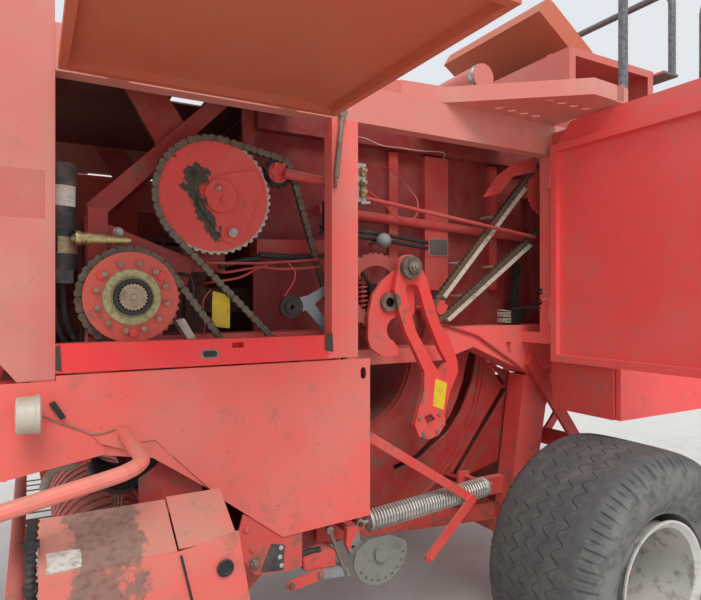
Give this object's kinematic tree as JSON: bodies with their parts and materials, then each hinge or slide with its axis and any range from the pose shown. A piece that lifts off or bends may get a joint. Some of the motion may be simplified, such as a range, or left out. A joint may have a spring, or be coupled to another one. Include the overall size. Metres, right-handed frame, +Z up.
{
  "type": "square baler",
  "caption": "Large towed hay baler with a tined pickup, stuffer chute, bale chamber, twine boxes, hinged side covers, parking jack and rear bale chute.",
  "frame": {"origin": "centre of the hitch eye's bore", "axes": "+X forward in the direction of travel, +Y to the left, +Z up"},
  "size_m": [7.5913, 2.992, 3.1924],
  "materials": {
    "red_frame": "satin, dusty",
    "red_panel": "faded satin, scratched",
    "red_cover": "satin, dusty",
    "red_inner": "satin, greasy",
    "cream_rim": "satin, dusty",
    "tyre": "dusty rubber",
    "grey_steel": "worn grey paint",
    "bare_steel": "worn, rusty",
    "chain": "oily black",
    "bright_steel": "zinc plated",
    "black_plastic": "matt",
    "worn_floor": "polished by hay"
  },
  "bodies": {
    "frame": {"tongue": "red_frame", "hitch_eye": "bare_steel", "side_frame_left": "red_panel", "side_frame_right": "red_panel", "chamber_wall_left": "red_inner", "chamber_wall_right": "red_inner", "chamber_floor": "worn_floor", "chamber_roof": "red_inner", "stuffer_chute": "red_inner", "stuffer_crank": "red_frame", "packer": "bare_steel", "clutch_hub": "red_inner", "sprockets": "red_inner", "drive_chains": "chain", "idler_bracket": "grey_steel", "gearbox": "red_inner", "braces": "red_inner", "grease_pump": "black_plastic", "chain_guides": "bright_steel", "bay_rods": "red_inner", "trip_spring": "bright_steel", "trip_links": "red_frame", "lower_panel_left": "red_panel", "lower_panel_right": "red_panel", "front_panel_left": "red_panel", "front_panel_right": "red_panel", "nose_cover": "red_panel", "guard_tubes": "red_panel", "axle": "red_frame", "twine_box_left": "red_cover", "twine_box_right": "red_cover", "platform": "red_panel", "top_box": "red_panel", "knotters": "bare_steel", "needle_yoke": "red_frame", "plunger": "red_inner", "density_frame": "red_frame", "lamps": "cream_rim", "drive_guard": "black_plastic"},
    "jack": {"jack_leg": "bright_steel"},
    "flywheel": {"flywheel": "red_inner"},
    "input_stub": {"pto_stub": "bright_steel"},
    "wheel_left": {"rim_left": "cream_rim", "tyre_left": "tyre"},
    "wheel_right": {"rim_right": "cream_rim", "tyre_right": "tyre"},
    "pickup": {"pickup_frame": "red_frame"},
    "reel": {"pickup_reel": "bare_steel"},
    "windguard": {"windguard": "red_frame"},
    "gauge_left": {"gauge_wheel_left": "tyre"},
    "gauge_right": {"gauge_wheel_right": "tyre"},
    "hood_left": {"hood_left": "red_cover"},
    "hood_right": {"hood_right": "red_cover"},
    "door_left": {"door_left": "red_cover"},
    "door_right": {"door_right": "red_cover"},
    "knotter_hood": {"knotter_hood": "red_cover"},
    "twine_door_left": {"twine_door_left": "red_panel"},
    "twine_door_right": {"twine_door_right": "red_panel"},
    "bale_chute": {"bale_chute": "red_frame"}
  },
  "joints": [
    {"name": "jack_slide", "type": "slide", "parent": "frame", "child": "jack", "axis": [0, 0, 1], "range_m": [0, 0.35]},
    {"name": "flywheel_spin", "type": "hinge", "parent": "frame", "child": "flywheel", "pos_m": [-2.3, 0, 1.02], "axis": [1, 0, 0], "continuous": true},
    {"name": "input_spin", "type": "hinge", "parent": "frame", "child": "input_stub", "pos_m": [-0.8, 0, 0.42], "axis": [1, 0, 0], "continuous": true},
    {"name": "wheel_left_spin", "type": "hinge", "parent": "frame", "child": "wheel_left", "pos_m": [-4.6, 1.045, 0.01], "axis": [0, 1, 0], "continuous": true},
    {"name": "wheel_right_spin", "type": "hinge", "parent": "frame", "child": "wheel_right", "pos_m": [-4.6, -1.045, 0.01], "axis": [0, 1, 0], "continuous": true},
    {"name": "pickup_lift", "type": "hinge", "parent": "frame", "child": "pickup", "pos_m": [-3.48, 0, 0.22], "axis": [0, 1, 0], "range_deg": [0, 21]},
    {"name": "reel_spin", "type": "hinge", "parent": "pickup", "child": "reel", "pos_m": [-2.82, 0, 0.08], "axis": [0, 1, 0], "continuous": true},
    {"name": "windguard_float", "type": "hinge", "parent": "pickup", "child": "windguard", "pos_m": [-2.96, 0, 0.35], "axis": [0, -1, 0], "range_deg": [0, 15]},
    {"name": "gauge_left_spin", "type": "hinge", "parent": "pickup", "child": "gauge_left", "pos_m": [-3.04, 1.18, -0.14], "axis": [0, 1, 0], "continuous": true},
    {"name": "gauge_right_spin", "type": "hinge", "parent": "pickup", "child": "gauge_right", "pos_m": [-3.04, -1.18, -0.14], "axis": [0, 1, 0], "continuous": true},
    {"name": "hood_left_hinge", "type": "hinge", "parent": "frame", "child": "hood_left", "pos_m": [-3.04, 0.735, 1.735], "axis": [1, 0, 0], "range_deg": [-90, 0]},
    {"name": "hood_right_hinge", "type": "hinge", "parent": "frame", "child": "hood_right", "pos_m": [-3.04, -0.735, 1.735], "axis": [-1, 0, 0], "range_deg": [0, 90]},
    {"name": "door_left_hinge", "type": "hinge", "parent": "frame", "child": "door_left", "pos_m": [-4.58, 0.735, 1.27], "axis": [0, 0, 1], "range_deg": [-90, 0]},
    {"name": "door_right_hinge", "type": "hinge", "parent": "frame", "child": "door_right", "pos_m": [-4.58, -0.735, 1.27], "axis": [0, 0, -1], "range_deg": [0, 90]},
    {"name": "knotter_hood_hinge", "type": "hinge", "parent": "frame", "child": "knotter_hood", "pos_m": [-5.4, 0, 2.286], "axis": [0, 1, 0], "range_deg": [0, 33]},
    {"name": "twine_door_left_hinge", "type": "hinge", "parent": "frame", "child": "twine_door_left", "pos_m": [-6.1, 1.047, 1.12], "axis": [0, 0, 1], "range_deg": [0, 110]},
    {"name": "twine_door_right_hinge", "type": "hinge", "parent": "frame", "child": "twine_door_right", "pos_m": [-6.1, -1.047, 1.12], "axis": [0, 0, -1], "range_deg": [0, 110]},
    {"name": "bale_chute_hinge", "type": "hinge", "parent": "frame", "child": "bale_chute", "pos_m": [-6.94, 0, 0.88], "axis": [0, 1, 0], "range_deg": [0, 100]}
  ],
  "couplings": [
    {"joint": "input_spin", "follows": "flywheel_spin", "ratio": 1}
  ]
}
